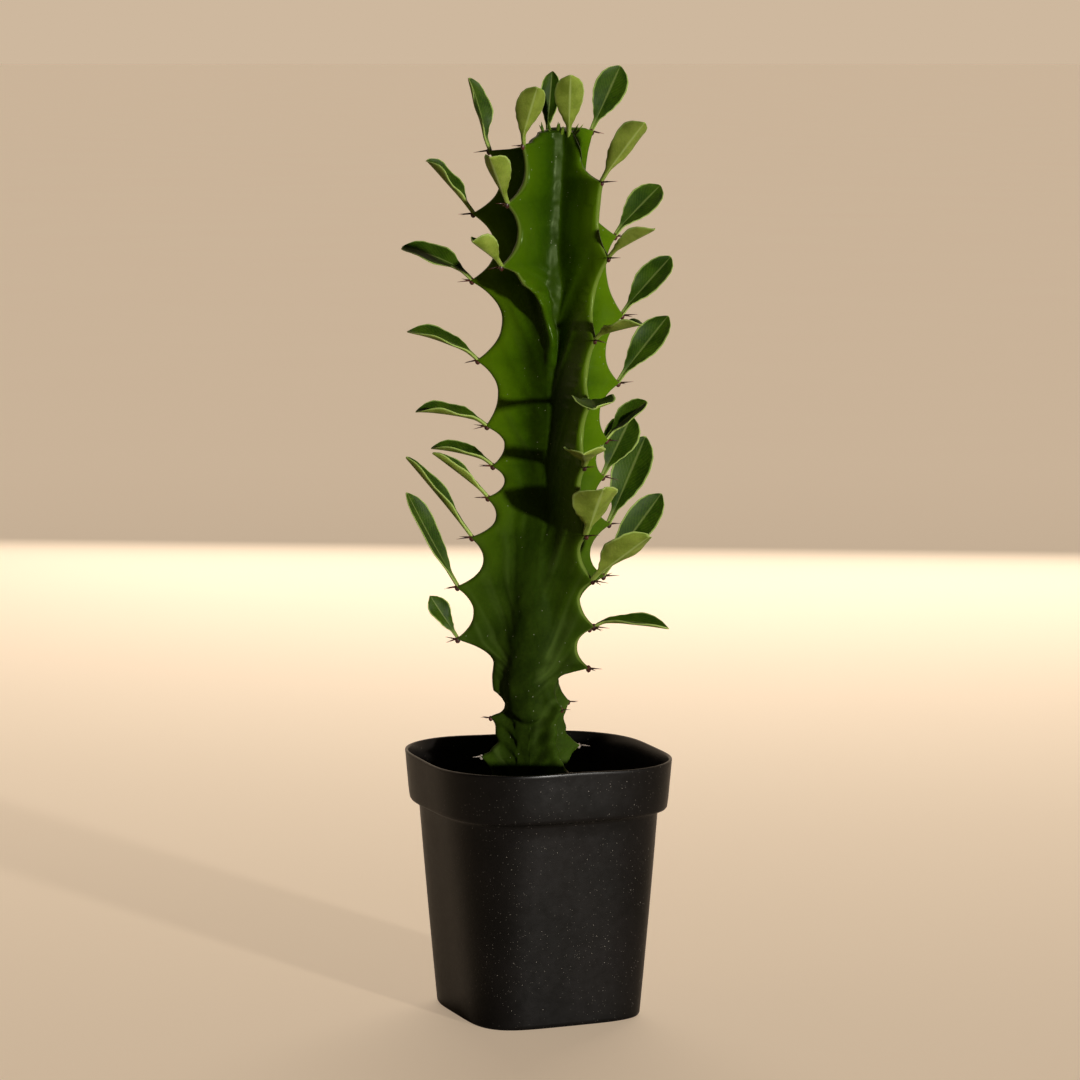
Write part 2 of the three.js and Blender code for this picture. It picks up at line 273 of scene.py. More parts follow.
def makeCamera():
    data = bpy.data.cameras.new("camera")
    data.lens = view["lens"]
    data.sensor_width = 36
    camera = bpy.data.objects.new("camera", data)
    back = heading(view["side"] - 90) * view["distance"]
    camera.location = (back.x, back.y, view["height"])
    camera.rotation_euler = (math.radians(90 - view["dip"]), 0, math.radians(view["turn"]))
    scene.collection.objects.link(camera)
    scene.camera = camera


studio = {
    "floorColour": colour(224, 204, 180), "floorGrain": colour(219, 199, 175), "floorSize": 60,
    "floorGlow": 0.76,  # the floor's own light, seen only by the camera, so it stays pale under a low lamp
    "floorGlowNear": 0.56, "floorFade": (0.0, 2.2),
    "air": colour(206, 184, 158),
    "wallLight": 0.2,  # the light from the pale walls round the bench
    "wallGloss": 1.15,  # how bright the wall behind looks in glossy surfaces
    "openLight": 0.02,  # and from the dark open side, towards the camera
    # a low sun from the right, a little light back from the left, and a soft lamp for the far side
    "keySide": 284, "keyRise": 4.5, "keyStrength": 3.6, "keySpread": 3.0,
    "keyColour": (1.0, 0.965, 0.9),
    "bounceSide": 170, "bounceDistance": 0.7, "bounceSize": (0.8, 0.8), "bouncePower": 0.25,
    "bounceColour": (1.0, 0.86, 0.7),
    "rearSide": 62, "rearRise": 22, "rearDistance": 1.3, "rearSize": (1.3, 1.3), "rearPower": 12.0,
    "rearColour": (1.0, 0.95, 0.88),
}


def addAreaLight(name, side, rise, distance, size, power, tint, aim):
    # a soft lamp that gives no reflection of its own
    data = bpy.data.lights.new(name, "AREA")
    data.shape = "RECTANGLE"
    data.size, data.size_y = size
    data.energy = power
    data.color = tint
    lamp = bpy.data.objects.new(name, data)
    lamp.visible_glossy = False
    lamp.visible_camera = False
    away = heading(side) * math.cos(math.radians(rise)) + Vector((0, 0, math.sin(math.radians(rise))))
    lamp.location = aim + away * distance
    lamp.rotation_euler = (-away).to_track_quat("-Z", "Y").to_euler()
    scene.collection.objects.link(lamp)


def makeStudio():
    bm = bmesh.new()
    bmesh.ops.create_circle(bm, segments=96, radius=studio["floorSize"], cap_ends=True)
    mesh = bpy.data.meshes.new("floor")
    bm.to_mesh(mesh)
    bm.free()
    floor = bpy.data.objects.new("floor", mesh)
    scene.collection.objects.link(floor)
    material, tree, shader, place = newMaterial("paleFloor")
    paint = blend(tree, noise(tree, place, 3.0, 2.0), studio["floorColour"], studio["floorGrain"])
    tree.links.new(paint, shader.inputs["Base Color"])
    shader.inputs["Roughness"].default_value = 0.9
    shader.inputs["Specular IOR Level"].default_value = 0.15
    shader.inputs["Emission Color"].default_value = studio["air"]
    seen = tree.nodes.new("ShaderNodeLightPath").outputs["Is Camera Ray"]
    away = addNode(tree, "ShaderNodeVectorMath", {0: place}, operation="LENGTH").outputs["Value"]
    near, far = studio["floorFade"]
    glow = ramp(tree, away, near, far, studio["floorGlowNear"], studio["floorGlow"])
    tree.links.new(maths(tree, "MULTIPLY", seen, glow), shader.inputs["Emission Strength"])
    mesh.materials.append(material)

    world = bpy.data.worlds.new("studio")
    scene.world = world
    world.use_nodes = True
    tree = world.node_tree
    direction = tree.nodes.new("ShaderNodeTexCoord").outputs["Generated"]
    opening = heading(view["side"] - 90)
    facing = addNode(tree, "ShaderNodeVectorMath", {0: direction, 1: opening}, operation="DOT_PRODUCT")
    walls = ramp(tree, facing.outputs["Value"], -0.15, 0.5, studio["wallLight"], studio["openLight"])
    upward = addNode(tree, "ShaderNodeSeparateXYZ", {0: direction}).outputs["Z"]
    walls = maths(tree, "MULTIPLY", walls, ramp(tree, upward, 0.45, 0.9, 1.0, 0.25))
    path = tree.nodes.new("ShaderNodeLightPath")
    shine = ramp(tree, facing.outputs["Value"], -0.3, 0.25, studio["wallGloss"], 0.0)
    walls = mixBy(tree, walls, shine, path.outputs["Is Glossy Ray"])
    sky = tree.nodes["Background"]
    sky.inputs["Color"].default_value = studio["air"]
    tree.links.new(mixBy(tree, walls, 1.0, path.outputs["Is Camera Ray"]), sky.inputs["Strength"])

    data = bpy.data.lights.new("key", "SUN")
    data.energy = studio["keyStrength"]
    data.color = studio["keyColour"]
    data.angle = math.radians(studio["keySpread"])
    key = bpy.data.objects.new("key", data)
    rise = math.radians(studio["keyRise"])
    away = heading(studio["keySide"]) * math.cos(rise) + Vector((0, 0, math.sin(rise)))
    key.rotation_euler = (-away).to_track_quat("-Z", "Y").to_euler()
    key.location = away * 2
    scene.collection.objects.link(key)
    middle = (cadBox[0] + cadBox[1]) / 2
    addAreaLight("bounce", studio["bounceSide"], 0, studio["bounceDistance"], studio["bounceSize"],
                 studio["bouncePower"], studio["bounceColour"], middle)
    addAreaLight("rear", studio["rearSide"], studio["rearRise"], studio["rearDistance"], studio["rearSize"],
                 studio["rearPower"], studio["rearColour"], middle)


makeCamera()
makeStudio()
print("camera, floor and lights are set")


# the stem: a column of sections, each the sum of a core and thin ribs. A fourth rib starts in its upper part

stem = {
    "leanSide": -22,
    "lean": [(95, -3), (123, -3.8), (163, -1), (204, 2.5), (232, 4), (289, 5.5), (346, 7.5)],
    "core": [(40, 10.5), (82, 8), (92, 5), (100, 4), (170, 4.5), (220, 4.5), (340, 5.5), (347.4, 3.5)],
    "root": [(95, 5.9), (117, 5.4), (122, 6.2), (130, 7), (165, 6.2), (205, 3.5), (344, 3.6)],
    "edge": 1.4,  # half a rib's width near its crest
    "flare": 2.6,  # how late a rib's faces widen towards the axis
    "rounding": 2.4,
    "envelope": (14, 3),  # least reach of the plain rib, and how far past the teeth its faces would meet
    "foot": 40, "soilLine": 82.5, "ribsEnd": 347.4, "apex": 348, "tipLevel": 346,
    # how tightly the ribs run into the core
    "blend": [(95, 5), (130, 4), (185, 5), (225, 6), (290, 8), (344, 9)],
    "notchAt": 0.5, "shelf": 2.6, "underside": 1.9,  # the deepest point between two teeth, and its two curves
    "swell": 0.9, "swellWidth": 4.6,  # how much, and for how far, a rib thickens beside each tooth
    "slant": 1.1, "steepen": 30,  # how far the swelling drops for each step inwards
    "fullReach": 19,  # a rib that reaches as far as this has a full crest
    "ridged": (118, 7, 0.5, 16),  # slanting ridges of the old growth: their top, spacing, height and slant
    "hook": (0.5, 3), "hooks": {139.5: (0.8, 5)},  # how a tooth's tip drops, and the teeth that drop further
    "around": 176, "step": 0.75, "crowding": 0.82, "halvings": 26,
    "unevenness": 0.35, "unevenScale": 9,
    "crown": [(0.93, 0.2), (0.8, 0.4), (0.6, 0.55), (0.35, 0.7)],  # the rings that close the top: size, rise
}

# a rib's thickness in the upper part beside the others', its heading against the height, and its teeth:
# height, reach, and the reach of the notch above
ribs = {
    "left": {
        "stout": [(165, 1), (205, 1.7), (255, 1.9), (284, 2.5), (300, 1.7)],
        "heading": [(95, 160), (150, 159), (190, 156), (232, 153), (289, 146), (345, 136)],
        "teeth": [
            (82.5, 4, 15), (101.7, 19.6, 12.4), (117.1, 15.3, 8.2), (127.4, 13, 14), (148.5, 30.3, 24.2),
            (169.1, 31.4, 21.6), (188.6, 27.9, 18.6), (204.3, 22.7, 15.7), (216.7, 21.4, 16.8),
            (232.3, 24.6, 19.8), (257.9, 29, 19.4), (288.9, 32.5, 23), (314.9, 33.5, 23), (339.3, 29, 12),
            (344.4, 9, 8), (347.4, 2, 2)],
    },
    "frontLeft": {
        "stout": [(250, 1.2), (300, 1.5)],
        "heading": [(250, 256), (264, 252), (279, 234), (284, 227), (288, 217), (296, 207), (345, 210)],
        "teeth": [
            (250, 5, 6), (257, 8, 9), (264, 10.5, 11), (279, 14.5, 15.5), (284, 17, 18.5), (288, 21, 22.5),
            (295.9, 30.5, 20.5), (319.9, 29.5, 19), (342, 22, 15), (344.6, 13, 11), (347.2, 3, 3)],
    },
    "frontRight": {
        "stout": [(165, 1), (205, 0.7)],
        "heading": [(95, 294), (125, 298), (150, 307), (174, 298), (192, 284), (219, 278), (243, 280),
                    (268, 283), (299, 291), (345, 290)],
        "teeth": [
            (82.5, 4, 14), (97.6, 20.5, 14), (122.1, 17.5, 11), (139.5, 28, 20), (155.4, 28, 21.5),
            (174, 29, 23), (192.2, 29.5, 24.5), (219.1, 30, 25.5), (242.9, 30, 26), (267.9, 30, 25.5),
            (299.3, 32, 25), (328.1, 26.5, 14), (344.2, 10, 9), (347.3, 2.5, 2.5)],
    },
    "right": {
        "stout": [(165, 1)],
        "heading": [(95, -5), (125, -2), (150, 10), (171, 6), (225, 9), (248, 3), (275, 1), (305, 16),
                    (345, 16)],
        "teeth": [
            (82.5, 4, 14), (105, 21, 15), (122.5, 17.5, 11), (150.6, 27, 20), (171.5, 31, 23),
            (192.2, 31, 23), (211.1, 27.5, 23), (225.6, 28, 23), (248.3, 31, 24), (275, 31, 25),
            (305.6, 32, 14), (346.8, 18, 15), (347.4, 15, 15)],
    },
}
# heights in the tables that only guide the crest
notThorned = {82.5, 127.4, 250, 257, 264, 279, 284, 288, 344.2, 344.4, 344.6, 347.2, 347.3, 347.4}


def crestReach(teeth, height):
    # out at a tooth, quickly in above it to a round notch, and out again to the next
    if height <= teeth[0][0]:
        return teeth[0][1]
    for low, high in zip(teeth, teeth[1:]):
        if height <= high[0]:
            share = (height - low[0]) / (high[0] - low[0])
            notchAt = stem["notchAt"]
            if share < notchAt:
                return mix(low[1], low[2], 1 - (1 - share / notchAt) ** stem["shelf"])
            return mix(low[2], high[1], ((share - notchAt) / (1 - notchAt)) ** stem["underside"])
    return teeth[-1][1]


def stemCentre(height):
    return heading(stem["leanSide"]) * along(stem["lean"], height) + Vector((0, 0, height))


def toothSwell(teeth, levels):
    # 1 level with a tooth, 0 half way between two
    wave = np.zeros_like(levels)
    for tooth in teeth:
        if tooth[0] not in notThorned:
            wave = np.maximum(wave, np.exp(-((levels - tooth[0]) / stem["swellWidth"]) ** 2))
    return wave


def slantDrop(inwards):
    # lines that leave the crest at a slant, and run down more steeply towards the valley
    return stem["slant"] * inwards * (1 + inwards / stem["steepen"])


def ribSection(rib, height, turns):
    # how far a thin rib reaches in each direction, and how near its crest each point is
    teeth = rib["teeth"]
    reach = crestReach(teeth, height)
    envelope = max(along(teeth, height), reach, stem["envelope"][0]) + stem["envelope"][1]
    root = along(stem["root"], height) * along(rib["stout"], height)
    sine, cosine = np.abs(np.sin(turns)), np.maximum(np.cos(turns), 0.0)
    low, high = np.zeros_like(turns), np.full_like(turns, reach)
    rounding = min(stem["rounding"], reach * 0.5)
    for _ in range(stem["halvings"]):  # closes in on the surface from both sides
        middle = (low + high) / 2
        out = middle * cosine
        half = stem["edge"] + (root - stem["edge"]) * np.maximum(1 - out / envelope, 0) ** stem["flare"]
        level = height + slantDrop(envelope - out)
        outer = np.clip(out / reach, 0, 1)
        half = half + stem["swell"] * (toothSwell(teeth, level) - 0.3) * outer * (1.4 - outer)
        gap = np.clip((reach - out) / rounding, 0, 1)
        half = half * np.sqrt(np.maximum(1 - (1 - gap) ** 2, 0))
        inside = middle * sine < half
        low, high = np.where(inside, middle, low), np.where(inside, high, middle)
    low = np.where(cosine > 0, low, min(root, reach))  # behind the axis a rib ends as a plain round
    tall = min(1.0, reach / stem["fullReach"])
    return low, np.clip(low * cosine / reach, 0, 1) * tall, height + slantDrop(envelope - low * cosine)


# the young growth is stouter than the old, and ends over it in a round chin that hangs lowest in front
chin = {"side": 250, "low": 114.6, "rise": 8, "roundness": 3.6, "reach": 9.4, "fade": (150, 205)}


def chinReach(height, turns):
    facing = np.cos(turns - math.radians(chin["side"]))
    grown = np.clip((height - chin["low"] - chin["rise"] * (1 - facing)) / chin["roundness"], 0, 1)
    start, end = chin["fade"]
    faded = 1 - smooth((height - start) / (end - start))
    return chin["reach"] * np.sqrt(1 - (1 - grown) ** 2) * faded * (0.75 + 0.25 * facing)


def hookDrop(rib, height, share):
    # the tip of each tooth hooks downwards
    nearest = min(rib["teeth"], key=lambda tooth: abs(tooth[0] - height))
    if nearest[0] in notThorned:
        return 0.0
    size, width = stem["hooks"].get(nearest[0], stem["hook"])
    return size * share ** 4 * math.exp(-((height - nearest[0]) / width) ** 2)


def stemSection(height, directions):
    turns = np.radians(directions)
    power = along(stem["blend"], height)
    total = np.full_like(turns, along(stem["core"], height) ** power) + chinReach(height, turns) ** power
    best = np.zeros_like(turns)
    crest, flow, lobe = np.zeros_like(turns), np.full_like(turns, float(height)), np.zeros_like(turns)
    for index, rib in enumerate(ribs.values()):
        if height < rib["teeth"][0][0]:
            continue
        side = math.radians(along(rib["heading"], height))
        radius, share, slanted = ribSection(rib, height, turns - side)
        total += radius ** power
        nearer = radius > best
        best = np.where(nearer, radius, best)
        crest, flow = np.where(nearer, share, crest), np.where(nearer, slanted, flow)
        lobe = np.where(nearer, index, lobe)
    return total ** (1 / power), crest, flow, lobe


def sectionDirections(height):
    # directions round one section, close together at the crests
    headings = [along(rib["heading"], height) for rib in ribs.values()]
    perRib = stem["around"] // len(headings)
    directions = []
    for index, start in enumerate(headings):
        end = headings[(index + 1) % len(headings)]
        while end <= start:
            end += 360
        for step in range(perRib):
            share = step / perRib
            crowd = stem["crowding"] * math.sin(2 * math.pi * share) / (2 * math.pi)
            directions.append(mix(start, end, share - crowd))
    return np.array(directions)


def stemHeights():
    # one section at every tooth, and even steps between
    above = stem["soilLine"] + 0.5
    fixed = sorted({tooth[0] for rib in ribs.values() for tooth in rib["teeth"] if tooth[0] > above})
    heights = [stem["soilLine"]]
    for level in fixed:
        gap = level - heights[-1]
        if gap < 0.3:
            continue
        steps = max(1, round(gap / stem["step"]))
        low = heights[-1]
        heights += [low + gap * (i + 1) / steps for i in range(steps)]
    return heights


def makeStem(materials):
    rings, facts = [], []
    names = list(ribs)
    ridgeTop, ridgeSpacing, ridgeHeight, ridgeSlant = stem["ridged"]

    def addRing(height, scale=1.0, lift=0.0):
        centre = stemCentre(height)
        directions = sectionDirections(height)
        ring = []
        for direction, radius, share, slanted, lobe in zip(directions, *stemSection(height, directions)):
            if height < ridgeTop:
                ridge = math.sin(2 * math.pi * (height - ridgeSlant * share) / ridgeSpacing)
                radius += ridgeHeight * ridge * smooth(share * 3) * smooth((1 - share) * 5)
            place = centre + heading(direction) * radius * scale + Vector((0, 0, lift))
            if scale == 1:
                place.z -= hookDrop(ribs[names[int(lobe)]], height, share)
            if height > stem["soilLine"]:
                uneven = fractal(place / stem["unevenScale"], 0.6, 2.0, 3) * stem["unevenness"]
                place += heading(direction) * uneven * (1 - 0.6 * share)
            ring.append(place * mm)
            facts.append((share, slanted * mm, lobe))
        rings.append(ring)

    addRing(stem["foot"], 0.7)
    addRing(stem["foot"], 1.0, 1.6)
    addRing(60)  # under the soil it is plain
    for height in stemHeights():
        addRing(height)
    for scale, lift in stem["crown"]:
        addRing(stem["ribsEnd"], scale, lift)
    bm = bmesh.new()
    crest = bm.verts.layers.float.new("crest")
    flow = bm.verts.layers.float.new("flow")
    lobes = bm.verts.layers.float.new("lobe")
    loops = extrudeRings(bm, rings)
    for vert, (share, slanted, lobe) in zip((v for loop in loops for v in loop), facts):
        vert[crest], vert[flow], vert[lobes] = share, slanted, lobe
    closeWithPole(bm, loops[0], stemCentre(stem["foot"]) * mm)
    top = stemCentre(stem["ribsEnd"])
    top.z = stem["apex"]
    pole = closeWithPole(bm, loops[-1], top * mm)
    pole[flow] = stem["apex"] * mm
    return finishPiece("stemSkin", bm, ["stem"], materials)


def makeStemMaterial():
    material, tree, shader, place = newMaterial("stemSkin")
    crest = attribute(tree, "crest")
    flow = attribute(tree, "flow")
    lobe = attribute(tree, "lobe")
    height = addNode(tree, "ShaderNodeSeparateXYZ", {0: place}).outputs["Z"]
    age = ramp(tree, height, 0.25, 0.13)  # 1 in the old lower part
    skin = mottle(tree, place, 55.0, colour(42, 68, 2), colour(58, 88, 3))
    old = mottle(tree, place, 90.0, colour(27, 42, 3), colour(44, 62, 10))
    base = blend(tree, age, skin.outputs["Color"], old.outputs["Color"])
    young = blend(tree, age, colour(90, 122, 10), colour(50, 72, 12))
    base = blend(tree, ramp(tree, crest, 0.4, 1.0, 0.0, 0.55), base, young)
    deep = ramp(tree, crest, 0.62, 0.22, 0.0, 0.6)  # painted shade: darker down in the grooves
    # the painted groove shade is half as strong on the old growth, and blends towards a near-black green
    deep = maths(tree, "MULTIPLY", deep, ramp(tree, age, 0.0, 1.0, 1.0, 0.5))
    base = blend(tree, deep, base, colour(14, 24, 2))
    newest = maths(tree, "COMPARE", lobe, 1.0)  # the fourth rib is a deeper green
    base = blend(tree, maths(tree, "MULTIPLY", newest, 0.45), base, colour(28, 52, 1))
    # slanting streaks that run in from each tooth
    strokes = addNode(tree, "ShaderNodeCombineXYZ", {
        0: maths(tree, "MULTIPLY", flow, 105.0), 1: maths(tree, "MULTIPLY", crest, 1.1), 2: lobe}).outputs[0]
    streak = ramp(tree, noise(tree, strokes, 1.0, 1.0, 0.4), 0.42, 0.8)
    streak = maths(tree, "MULTIPLY", streak, ramp(tree, crest, 0.22, 0.45))
    streak = maths(tree, "MULTIPLY", streak, ramp(tree, age, 0.0, 1.0, 0.1, 0.6))
    base = blend(tree, streak, base, colour(74, 94, 38))
    # a thin pale line along each crest
    edge = ramp(tree, crest, 0.965, 0.995)
    base = blend(tree, maths(tree, "MULTIPLY", edge, 0.6), base, colour(112, 130, 56))
    dust = specks(tree, place, 520.0, 0.1, 0.22)
    base = blend(tree, maths(tree, "MULTIPLY", dust, 0.35), base, colour(190, 190, 170))
    tree.links.new(base, shader.inputs["Base Color"])
    grain = skin.outputs["Grain"]
    rough = maths(tree, "ADD", ramp(tree, age, 0.0, 1.0, 0.17, 0.6), maths(tree, "MULTIPLY", grain, 0.14))
    rough = maths(tree, "ADD", rough, ramp(tree, crest, 0.45, 0.1, 0.0, 0.16))  # duller down in the grooves
    rough = maths(tree, "ADD", rough, maths(tree, "MULTIPLY", streak, 0.15))
    tree.links.new(rough, shader.inputs["Roughness"])
    lumps = maths(tree, "MULTIPLY", noise(tree, place, 120.0, 2.0), ramp(tree, age, 0.0, 1.0, 0.3, 1.0))
    relief = maths(tree, "ADD", maths(tree, "MULTIPLY", grain, 0.1), lumps)
    relief = maths(tree, "ADD", relief, maths(tree, "MULTIPLY", streak, 0.6))
    addBump(tree, shader, relief, 0.16, 0.0012)
    shader.inputs["Specular IOR Level"].default_value = 0.07
    shader.inputs["Specular Tint"].default_value = (0.8, 1.0, 0.5, 1.0)
    shader.inputs["Subsurface Weight"].default_value = 0.05
    shader.inputs["Subsurface Radius"].default_value = (0.4, 1.0, 0.15)
    shader.inputs["Subsurface Scale"].default_value = 0.002
    return material


makeStem([makeStemMaterial()])
print("the stem is grown")


# the thorns: a pair at each tooth, on a small dark shield

thorns = {
    "length": (4.4, 6.2), "radius": 0.4, "point": 0.03, "spread": 30, "drop": 8,
    "shield": (1.15, 0.85, 1.5), "inset": 0.7,  # how deep the shield sits in the tooth
    "oldBelow": 130, "oldSize": 0.75, "seed": 7,
}


def makeThornMaterial():
    material, tree, shader, place = newMaterial("thorn")
    brown = mottle(tree, place, 300.0, colour(38, 16, 12), colour(84, 40, 32))
    height = addNode(tree, "ShaderNodeSeparateXYZ", {0: place}).outputs["Z"]
    worn = ramp(tree, height, 0.112, 0.1)  # the oldest are bleached
    paled = blend(tree, worn, brown.outputs["Color"], colour(160, 150, 140))
    tree.links.new(paled, shader.inputs["Base Color"])
    shader.inputs["Roughness"].default_value = 0.42
    return material


def toothTips():
    for rib in ribs.values():
        for height, reach, _ in rib["teeth"]:
            if height not in notThorned:
                side = along(rib["heading"], height)
                tip = stemCentre(height) + heading(side) * reach
                tip.z -= hookDrop(rib, height, 1)
                yield height, side, tip


def makeThorns(material):
    chance = random.Random(thorns["seed"])
    bm = bmesh.new()
    for height, side, tip in toothTips():
        small = thorns["oldSize"] if height < thorns["oldBelow"] else 1.0
        made = bmesh.ops.create_icosphere(bm, subdivisions=2, radius=1)["verts"]
        scale = Matrix.Diagonal([size * small for size in thorns["shield"]]).to_4x4()
        turn = Matrix.Rotation(math.radians(side), 4, "Z")
        rest = Matrix.Translation(tip - heading(side) * thorns["inset"] * small + Vector((0, 0, -0.3)))
        bmesh.ops.transform(bm, matrix=rest @ turn @ scale, verts=made)
        for hand in (-1, 1):
            length = chance.uniform(*thorns["length"]) * small
            spread = hand * thorns["spread"] * chance.uniform(0.7, 1.3)
            drop = thorns["drop"] * chance.uniform(-0.9, 1.8)
            radius = thorns["radius"] * small
            cone = bmesh.ops.create_cone(bm, cap_ends=True, segments=10, radius1=radius,
                                         radius2=thorns["point"], depth=length)["verts"]
            bmesh.ops.translate(bm, verts=cone, vec=(0, 0, length / 2))
            aim = heading(side + spread) * math.cos(math.radians(drop))
            aim.z = -math.sin(math.radians(drop))
            point = aim.to_track_quat("Z", "X").to_matrix().to_4x4()
            bmesh.ops.transform(bm, matrix=Matrix.Translation(tip) @ point, verts=cone)
    bmesh.ops.scale(bm, verts=bm.verts, vec=(mm, mm, mm))
    return finishPiece("thorns", bm, [], [material])


makeThorns(makeThornMaterial())
print("the thorns are set")


# the leaves

leafShape = {
    "outline": [(0, 0.13), (0.1, 0.17), (0.22, 0.44), (0.36, 0.74), (0.5, 0.94), (0.64, 1.0), (0.78, 0.9),
                (0.88, 0.68), (0.95, 0.38), (0.985, 0.14), (1, 0.03)],
    "thickness": 0.9, "midribBulge": 0.28, "midribGroove": 0.2, "wave": (0.25, 0.9), "waves": 11,
    "baseLift": 1.6, "clearance": 0.3, "stalk": 0.14, "stalkBend": (1.6, 2.4),  # in and down, into the tooth
    "lengthwise": 30, "across": 10, "seed": 5,
}

# rib, tooth height, heading, elevation, length, width, roll, fold, droop
leaves = [
    ("left", 339.3, 143, 80, 27, 12, -20, 25, 0.12),
    ("left", 314.9, 150, 48, 25.5, 12, -10, 30, 0.02),
    ("left", 288.9, 152, 33, 28.5, 13, -36, 18, 0.27),
    ("left", 257.9, 154, 28, 28, 12, -20, 25, 0.18),
    ("left", 232.3, 156, 15, 27, 12, -15, 28, 0.14),
    ("left", 216.7, 148, 19, 24, 11, -15, 28, 0.16),
    ("left", 204.3, 164, 38, 26, 9, -8, 35, 0.02),
    ("left", 188.6, 158, 51, 38.5, 10, -12, 30, 0.02),
    ("left", 169.1, 156, 59, 40, 12, -34, 18, -0.06),
    ("left", 148.5, 152, 55, 18, 9, -55, 12, -0.05),
    ("frontLeft", 342, 268, 50, 27, 12.5, -8, 22, 0.02),
    ("frontLeft", 319.9, 231, 40, 26, 14, 0, 38, 0.02),
    ("frontLeft", 295.9, 212, 28, 19.5, 13, 8, 42, 0.05),
    ("frontRight", 328.1, 291, 44, 31, 13, -25, 28, 0.02),
    ("frontRight", 299.3, 294, 24, 25, 11, -8, 25, 0.02),
    ("frontRight", 267.9, 292, 14, 25, 11, 0, 24, 0.04),
    ("frontRight", 242.9, 251, 1, 26, 18, 0, 15, 0.06),
    ("frontRight", 219.1, 245, 13, 27, 18, 0, 20, 0.02),
    ("frontRight", 192.2, 262, 41, 29, 20, 5, 20, 0.02),
    ("frontRight", 174, 298, 33, 32, 18, -20, 20, 0),
    ("frontRight", 155.4, 318, 5, 29, 9, 25, 30, 0.16),
    ("right", 346.8, 16, 60, 27, 13.5, 50, 12, 0.02),
    ("right", 305.6, 13, 40, 28, 13, 45, 16, 0.05),
    ("right", 275, 3, 45, 29, 12.5, 45, 14, 0.02),
    ("right", 248.3, 3, 49, 32, 13, 50, 14, 0.04),
    ("right", 225.6, -18, 40, 20, 12, 35, 24, 0),
    ("right", 211.1, 12, 59, 25, 15, 50, 14, 0.02),
    ("right", 192.2, 2, 65, 35.5, 16, 55, 14, 0.02),
    ("right", 171.5, 12, 47, 40, 14, 50, 16, 0.02),
]
# side and distance of the base from the growing tip, then as above from the heading on
tipLeaves = [
    (285, 7.5, 250, 58, 26.5, 12.5, 4, 18, 0.02),
    (100, 7, 48, 76, 24, 9, 20, 22, 0),
]


def makeLeafMaterial():
    material, tree, shader, place = newMaterial("leaf")
    lengthwise = attribute(tree, "lengthwise")
    across = attribute(tree, "across")
    upper = attribute(tree, "upper")
    above = mottle(tree, place, 120.0, colour(32, 55, 3), colour(52, 76, 7))
    below = mottle(tree, place, 140.0, colour(104, 120, 38), colour(132, 148, 58))
    side = ramp(tree, upper, 0.35, 0.65)
    base = blend(tree, side, below.outputs["Color"], above.outputs["Color"])
    offset = maths(tree, "ABSOLUTE", across)
    # side veins slant forward from the midrib
    forward = maths(tree, "MULTIPLY", lengthwise, 16.0)
    slant = maths(tree, "ADD", forward, maths(tree, "MULTIPLY", offset, -5.0))
    vein = maths(tree, "SINE", maths(tree, "MULTIPLY", slant, 6.283))  # a whole turn for each vein
    veins = maths(tree, "MULTIPLY", ramp(tree, vein, 0.6, 1.0), 0.16)
    base = blend(tree, maths(tree, "MULTIPLY", veins, 0.6), base, colour(110, 130, 56))
    midrib = maths(tree, "MULTIPLY", ramp(tree, offset, 0.1, 0.02), ramp(tree, side, 0.0, 1.0, 0.75, 0.3))
    base = blend(tree, midrib, base, colour(150, 164, 92))
    stalk = ramp(tree, lengthwise, 0.16, 0.02)
    base = blend(tree, maths(tree, "MULTIPLY", stalk, 0.8), base, colour(128, 148, 64))
    rim = maths(tree, "MAXIMUM", ramp(tree, offset, 0.86, 0.97), ramp(tree, lengthwise, 0.975, 1.0))
    base = blend(tree, maths(tree, "MULTIPLY", rim, 0.85), base, colour(158, 178, 96))
    tree.links.new(base, shader.inputs["Base Color"])
    tree.links.new(ramp(tree, side, 0.0, 1.0, 0.6, 0.48), shader.inputs["Roughness"])
    relief = maths(tree, "SUBTRACT", above.outputs["Grain"], maths(tree, "MULTIPLY", veins, 2.0))
    addBump(tree, shader, relief, 0.2, 0.0005)
    shader.inputs["Specular IOR Level"].default_value = 0.11
    shader.inputs["Subsurface Weight"].default_value = 0.15
    shader.inputs["Subsurface Radius"].default_value = (0.5, 1.0, 0.2)
    shader.inputs["Subsurface Scale"].default_value = 0.0015
    return material


